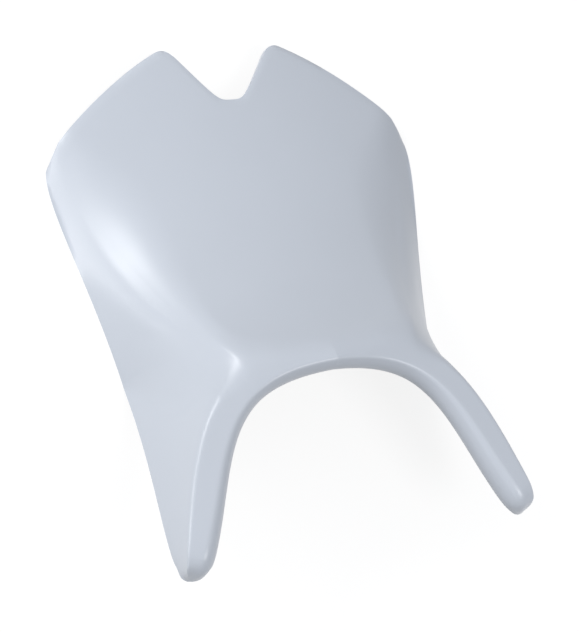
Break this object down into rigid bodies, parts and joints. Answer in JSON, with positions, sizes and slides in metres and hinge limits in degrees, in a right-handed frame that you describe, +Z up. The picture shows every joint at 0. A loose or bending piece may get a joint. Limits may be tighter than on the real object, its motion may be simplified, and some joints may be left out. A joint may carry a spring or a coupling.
{
  "type": "motorcycle race seat base",
  "caption": "Hollow one-piece race seat base: dished panel with a notched rear edge, side flanks and a collar running round a front cut-out into a pair of arms.",
  "frame": {"origin": "on the ground plane below the middle of the moulding's length and width", "axes": "+X to the rider's left, +Y to the rear, +Z up; the arms point to -Y"},
  "size_m": [0.3298, 0.4564, 0.1187],
  "materials": {
    "gelcoat": "smooth satin gelcoat, cool off-white",
    "laminate": "raw glass-fibre laminate on the hidden inner face, slightly rough"
  },
  "bodies": {
    "root": {"seat_shell": "gelcoat"}
  },
  "joints": []
}
